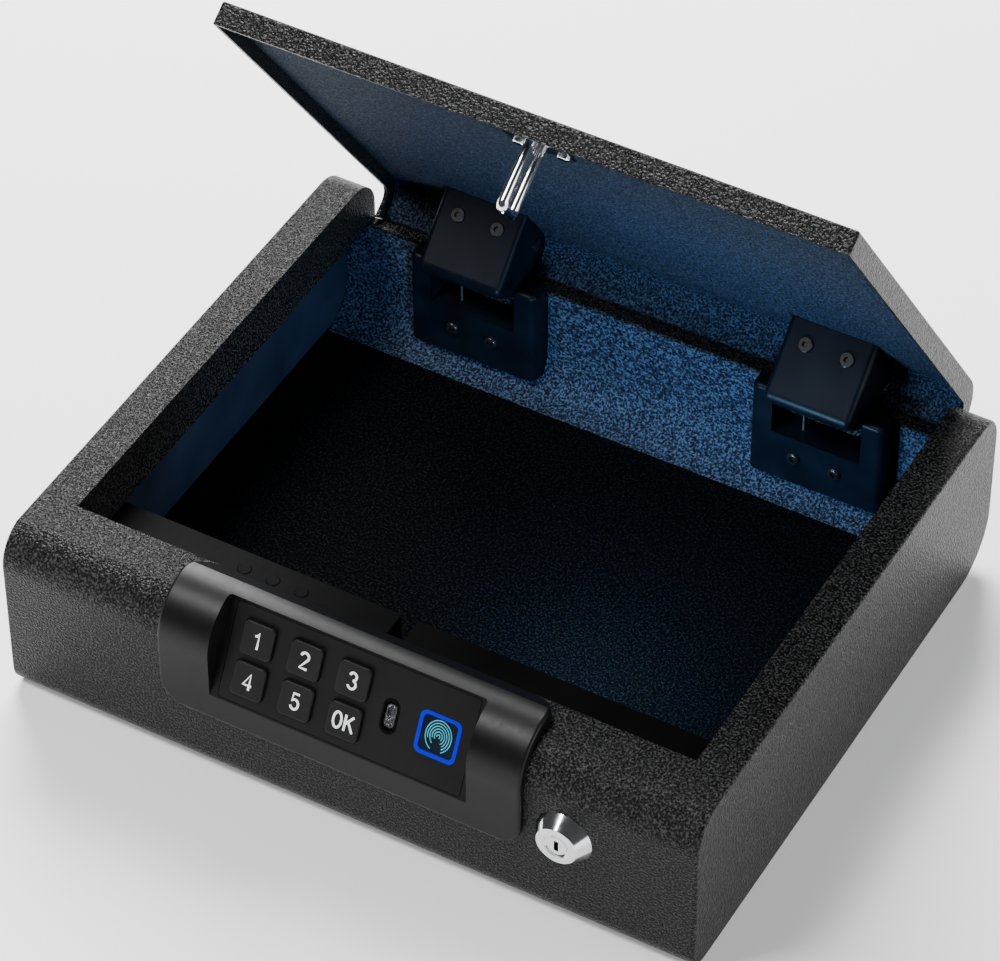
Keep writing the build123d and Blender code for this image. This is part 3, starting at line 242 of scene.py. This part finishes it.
def floor_foam():
    """Near-black napped foam on the floor."""
    pad = Shader("floor_foam", (0.006, 0.007, 0.01), 0.92, specular=0.03)
    nap = pad.noise(1000.0, 2.0, 0.7)
    pad.paint(nap, (0.42, (0.0002, 0.0002, 0.0004)), (0.52, (0.0008, 0.0009, 0.0013)),
              (0.62, (0.007, 0.0075, 0.009)))
    pad.bump(nap, 0.8, 0.0007)
    return pad.material


def hinge_paint():
    """Smooth satin black enamel on cast hinges."""
    enamel = Shader("hinge_enamel", (0.003, 0.004, 0.006), 0.36, specular=0.10)
    enamel.paint(enamel.noise(60.0, 3.0), (0.35, (0.002, 0.0035, 0.006)), (0.75, (0.004, 0.007, 0.012)))
    enamel.vary("Roughness", enamel.noise(220.0, 3.0), 0.33, 0.46)
    enamel.bump(enamel.noise(650.0, 3.0), 0.05, 0.0003)
    return enamel.material


def moulding(name, grey, roughness, grain, specular=0.2):
    """Moulded black plastic with a fine spark-eroded grain."""
    plastic = Shader(name, (grey, grey, grey * 1.08), roughness, specular=specular)
    tone = plastic.noise(25.0, 3.0)
    plastic.paint(tone, (0.35, (grey * 0.8, grey * 0.8, grey * 0.85)),
                  (0.75, (grey * 1.3, grey * 1.3, grey * 1.4)))
    plastic.vary("Roughness", plastic.noise(400.0, 2.0), roughness - 0.05, roughness + 0.06)
    plastic.bump(plastic.noise(2600.0, 2.0), grain, 0.0002)
    return plastic.material


def chrome():
    """Bright plating with faint polishing haze."""
    plate = Shader("chrome", (0.86, 0.86, 0.88), 0.10, metallic=1.0)
    plate.vary("Roughness", plate.noise(320.0, 3.0), 0.07, 0.17)
    plate.bump(plate.noise(1400.0, 2.0), 0.02, 0.0002)
    return plate.material


def steel():
    """Plain drawn steel, its grain along X."""
    bar = Shader("bright_steel", (0.62, 0.62, 0.64), 0.32, metallic=1.0)
    grain = bar.noise(60.0, 4.0, 0.6, bar.stretched((1.0, 30.0, 30.0)))
    bar.paint(grain, (0.35, 0.48), (0.70, 0.70))
    bar.vary("Roughness", grain, 0.24, 0.42)
    bar.bump(grain, 0.05, 0.0002)
    return bar.material


def black_oxide():
    """Blackened steel of the screws, rivets and striker plate."""
    oxide = Shader("black_oxide", (0.01, 0.01, 0.011), 0.30, metallic=0.3)
    oxide.paint(oxide.noise(700.0, 3.0), (0.3, 0.006), (0.8, 0.018))
    oxide.bump(oxide.noise(1500.0, 2.0), 0.05, 0.0002)
    return oxide.material


def circuit_board():
    """Green board, mottled with small darker spots."""
    board = Shader("circuit_board", (0.02, 0.12, 0.05), 0.35)
    board.paint(board.cells(350.0), (0.25, (0.015, 0.10, 0.04)), (0.32, (0.03, 0.20, 0.08)))
    board.bump(board.cells(350.0), 0.1, 0.0002)
    return board.material


def light_guide():
    """Lit blue ring round the reader."""
    guide = Shader("blue_light_guide", (0.001, 0.001, 0.45), 0.3, specular=0.1)
    guide.glow((0.0, 0.0, 1.0), 0.20)
    guide.vary("Roughness", guide.noise(500.0, 2.0), 0.25, 0.4)
    return guide.material


def dark_window():
    """Glossy dark cover of the reader."""
    window = Shader("sensor_window", (0.006, 0.012, 0.02), 0.12)
    window.put("Coat Weight", 0.6)
    window.put("Coat Roughness", 0.05)
    window.paint(window.noise(90.0, 2.0), (0.3, (0.004, 0.010, 0.018)), (0.8, (0.008, 0.020, 0.034)))
    return window.material


def icon_light():
    """Lit ridges on the reader."""
    icon = Shader("icon_light", (0.05, 0.35, 0.45), 0.4)
    icon.glow((0.05, 0.42, 0.55), 0.55)
    icon.vary("Roughness", icon.noise(900.0), 0.35, 0.5)
    return icon.material


def lit_lens():
    """Lit cover of the interior light."""
    lens = Shader("lit_lens", (0.6, 0.75, 0.95), 0.5)
    lens.glow((0.45, 0.70, 1.0), 1.2)
    lens.bump(lens.noise(900.0), 0.15, 0.0003)
    return lens.material


def white_print():
    """White ink on the keys, with a faint glow as painted light that makes the print brighter than the
    lamps make it.
    """
    ink = Shader("white_print", (0.85, 0.85, 0.86), 0.5)
    ink.paint(ink.noise(800.0, 2.0), (0.3, 0.80), (0.8, 0.90))
    # Painted light: the ink glows faintly, so the print reads brighter than the lamps alone make it.
    ink.glow((1.0, 1.0, 1.0), 0.45)
    return ink.material


def cell_jacket():
    """Black and copper sleeve of the battery cells."""
    jacket = Shader("cell_jacket", (0.5, 0.35, 0.12), 0.3, metallic=0.5)
    jacket.paint(jacket.noise(40.0), (0.4, (0.05, 0.05, 0.05)), (0.5, (0.55, 0.38, 0.14)))
    return jacket.material


def paint_nodes():
    """Give every CAD node its material."""
    coats = {
        "powder_coat": (powder_coat(), ("body_shell", "lid_panel")),
        "hinge": (hinge_paint(), (
            "left_hinge_base", "right_hinge_base", "left_hinge_cover", "right_hinge_cover",
            "left_hinge_leaf", "right_hinge_leaf")),
        "housing": (moulding("housing_plastic", 0.004, 0.60, 0.10, 0.02), (
            "control_housing", "battery_cover", "battery_box", "usb_surround", "sensor_module",
            "program_button", "reset_button", "erase_button")),
        "bezel": (moulding("soft_touch_plastic", 0.004, 0.40, 0.12, 0.20), ("bezel",)),
        "keypad": (moulding("keypad_plastic", 0.006, 0.40, 0.10), ("keypad_plate",)),
        "caps": (moulding("key_plastic", 0.010, 0.42, 0.14), (
            "key_1", "key_2", "key_3", "key_4", "key_5", "key_ok")),
        "chrome": (chrome(), (
            "lock_bezel", "key_plug", "striker_loop", "striker_screws", "usb_port")),
        "steel": (steel(), (
            "left_hinge_pin", "right_hinge_pin", "left_hinge_spring", "right_hinge_spring",
            "housing_brackets", "lock_nut", "key_crank", "latch_bolt", "bolt_guides",
            "latch_motor", "motor_crank", "motor_bracket")),
        "oxide": (black_oxide(), (
            "hinge_base_screws", "hinge_cover_screws", "hinge_cheek_rivets", "striker_plate",
            "housing_screws")),
        "board": (circuit_board(), ("control_board", "button_board")),
        "ring": (light_guide(), ("sensor_ring",)),
        "window": (dark_window(), ("sensor_window",)),
        "lens": (lit_lens(), ("interior_light",)),
        "cells": (cell_jacket(), ("battery_cells",)),
        "lid_pad": (foam("lid_foam", 1.0), ("lid_liner",)),
        # Painted light: the rear pad is the same foam painted 1.7 times lighter than the lid pad,
        # standing for the light falling on the rear wall.
        "rear_pad": (foam("rear_foam_painted_lighter", 1.7), ("rear_liner",)),
        "side_pads": (smooth_foam(), ("left_liner", "right_liner")),
        "floor_pad": (floor_foam(), ("floor_liner",)),
    }
    for material, names in coats.values():
        for name in names:
            mesh = NODES[name].data
            mesh.materials.clear()
            mesh.materials.append(material)


# ---------------------------------------------------------------- foam pads
PADS = (
    ("floor_liner", "safe body"),
    ("left_liner", "safe body"),
    ("right_liner", "safe body"),
    ("rear_liner", "safe body"),
    ("lid_liner", "lid"),
)
PAD_EDGE = 0.9 * MM
PAD_EDGE_STEPS = 3
PAD_EDGE_ANGLE = 40.0           # sharper edges than this, in degrees, are rounded
WELD_DISTANCE = 1e-6
FLAT_ANGLE = 1.0                # faces that meet flatter than this, in degrees, are joined


def soft_pad(node, body):
    """A liner with rounded edges in the space of its CAD solid."""
    source = NODES[node]
    pad = bpy.data.objects.new("pad_" + node, source.data.copy())
    bpy.context.scene.collection.objects.link(pad)
    work = bmesh.new()
    work.from_mesh(pad.data)
    bmesh.ops.remove_doubles(work, verts=work.verts, dist=WELD_DISTANCE)
    bmesh.ops.dissolve_limit(
        work, angle_limit=math.radians(FLAT_ANGLE), verts=work.verts, edges=work.edges)
    work.to_mesh(pad.data)
    work.free()
    bevel = pad.modifiers.new("soft_edge", "BEVEL")
    bevel.width = PAD_EDGE
    bevel.segments = PAD_EDGE_STEPS
    bevel.limit_method = "ANGLE"
    bevel.angle_limit = math.radians(PAD_EDGE_ANGLE)
    pad.modifiers.new("even_shading", "WEIGHTED_NORMAL").keep_sharp = True
    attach(pad, body)
    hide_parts(node)


# ---------------------------------------------------------------- keypad print
FACE_TOLERANCE = 0.02 * MM


def key_normal():
    """Direction that the key faces look in."""
    joint = next(j for j in frame["joints"] if j["name"] == "key_1_press")
    return -Vector(joint["axis"]).normalized()


def top_centre(node, normal):
    """Centre of the face of a node that looks along normal."""
    points = [v.co.copy() for v in NODES[node].data.vertices]
    height = max(p.dot(normal) for p in points)
    face = [p for p in points if p.dot(normal) > height - FACE_TOLERANCE]
    low = Vector([min(p[i] for p in face) for i in range(3)])
    high = Vector([max(p[i] for p in face) for i in range(3)])
    return (low + high) / 2


def plane_matrix(at, normal):
    """Placement at a point, with Z along normal and X kept level."""
    across = Vector((1, 0, 0))
    up = normal.cross(across).normalized()
    turn = Matrix((across, up, normal)).transposed().to_4x4()
    return Matrix.Translation(at) @ turn


def bow(x, y, half_width, half_height, start, end, steps=20):
    """Points along part of an ellipse, angles in degrees."""
    points = []
    for step in range(steps + 1):
        angle = math.radians(start + (end - start) * step / steps)
        points.append((x + half_width * math.cos(angle), y + half_height * math.sin(angle)))
    return points


# Strokes of each generic numeral or letter: width, then lines of points; the height is 1.
GLYPHS = {
    "1": (0.40, [[(0.06, 0.74), (0.20, 0.78), (0.29, 0.96), (0.29, 0.0)]]),
    "2": (0.56, [bow(0.28, 0.72, 0.24, 0.25, 172, -28) + [(0.05, 0.03), (0.53, 0.03)]]),
    "3": (0.56, [bow(0.27, 0.74, 0.21, 0.23, 165, -85), bow(0.27, 0.27, 0.24, 0.25, 85, -165)]),
    "4": (0.58, [[(0.42, 0.0), (0.42, 0.96), (0.03, 0.27), (0.56, 0.27)]]),
    "5": (0.56, [[(0.49, 0.95), (0.13, 0.95), (0.08, 0.50)] + bow(0.27, 0.32, 0.24, 0.29, 128, -158)]),
    "O": (0.60, [bow(0.30, 0.49, 0.25, 0.47, 90, 450, 32)]),
    "K": (0.62, [[(0.07, 0.0), (0.07, 0.97)], [(0.56, 0.97), (0.08, 0.40)], [(0.25, 0.60), (0.60, 0.0)]]),
}
LETTER_GAP = 0.12               # as a part of the height
PRINT_HEIGHT = 7.0 * MM
PRINT_STROKE = 1.05 * MM
PRINT_FLATTEN = 0.12            # a printed stroke is this much flatter than it is wide


def add_print(name, text, node, body, normal, material):
    """White print on a key cap, made of flattened strokes."""
    data = bpy.data.curves.new(name, "CURVE")
    data.dimensions = "3D"
    data.bevel_depth = PRINT_STROKE / 2
    data.bevel_resolution = 2
    data.use_fill_caps = True
    total = sum(GLYPHS[letter][0] for letter in text) + LETTER_GAP * (len(text) - 1)
    left = -total / 2
    for letter in text:
        width, strokes = GLYPHS[letter]
        for stroke in strokes:
            spline = data.splines.new("POLY")
            spline.points.add(len(stroke) - 1)
            for point, (x, y) in zip(spline.points, stroke):
                point.co = ((left + x) * PRINT_HEIGHT, (y - 0.5) * PRINT_HEIGHT, 0.0, 1.0)
        left += width + LETTER_GAP
    label = bpy.data.objects.new(name, data)
    bpy.context.scene.collection.objects.link(label)
    flat = Matrix.Diagonal((1.0, 1.0, PRINT_FLATTEN, 1.0))
    label.matrix_world = plane_matrix(top_centre(node, normal), normal) @ flat
    data.materials.append(material)
    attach(label, body)


RIDGE_COUNT = 6
RIDGE_FIRST_R = 0.8 * MM
RIDGE_PITCH = 1.15 * MM
RIDGE_HALF = 0.22 * MM
RIDGE_NARROW = 0.85             # width of a ridge as a part of its height
RIDGE_STEPS = 28
EVEN_RIDGE = (-60, 200)         # start and end, in degrees
ODD_RIDGE = (-35, 215)
ODD_RIDGE_GROWTH = 6            # degrees that each end gains per ring


def ridge_ends(ring):
    """Start and end angle of a ridge, counted from the innermost one, 0."""
    start, end = EVEN_RIDGE
    if ring % 2:
        start = ODD_RIDGE[0] - ODD_RIDGE_GROWTH * ring
        end = ODD_RIDGE[1] + ODD_RIDGE_GROWTH * ring
    return math.radians(start), math.radians(end)


def add_reader_icon(normal, material):
    """Generic pattern of nested arcs on the reader's window."""
    data = bpy.data.curves.new("reader_icon", "CURVE")
    data.dimensions = "3D"
    data.bevel_depth = RIDGE_HALF
    data.bevel_resolution = 1
    for ring in range(RIDGE_COUNT):
        radius = RIDGE_FIRST_R + ring * RIDGE_PITCH
        start, end = ridge_ends(ring)
        spline = data.splines.new("POLY")
        spline.points.add(RIDGE_STEPS)
        for step in range(RIDGE_STEPS + 1):
            angle = start + (end - start) * step / RIDGE_STEPS
            across = radius * RIDGE_NARROW * math.cos(angle)
            spline.points[step].co = (across, radius * math.sin(angle), 0.0, 1.0)
    icon = bpy.data.objects.new("reader_icon", data)
    bpy.context.scene.collection.objects.link(icon)
    icon.matrix_world = plane_matrix(top_centre("sensor_window", normal), normal)
    data.materials.append(material)
    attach(icon, "safe body")


# ---------------------------------------------------------------- build
add_camera()
add_lamps()
add_floor()
paint_nodes()
for liner, owner in PADS:
    soft_pad(liner, owner)
NORMAL = key_normal()
INK = white_print()
for label in ("1", "2", "3", "4", "5", "OK"):
    add_print("print_" + label.lower(), label, "key_" + label.lower(), "key " + label.lower(),
              NORMAL, INK)
add_reader_icon(NORMAL, icon_light())
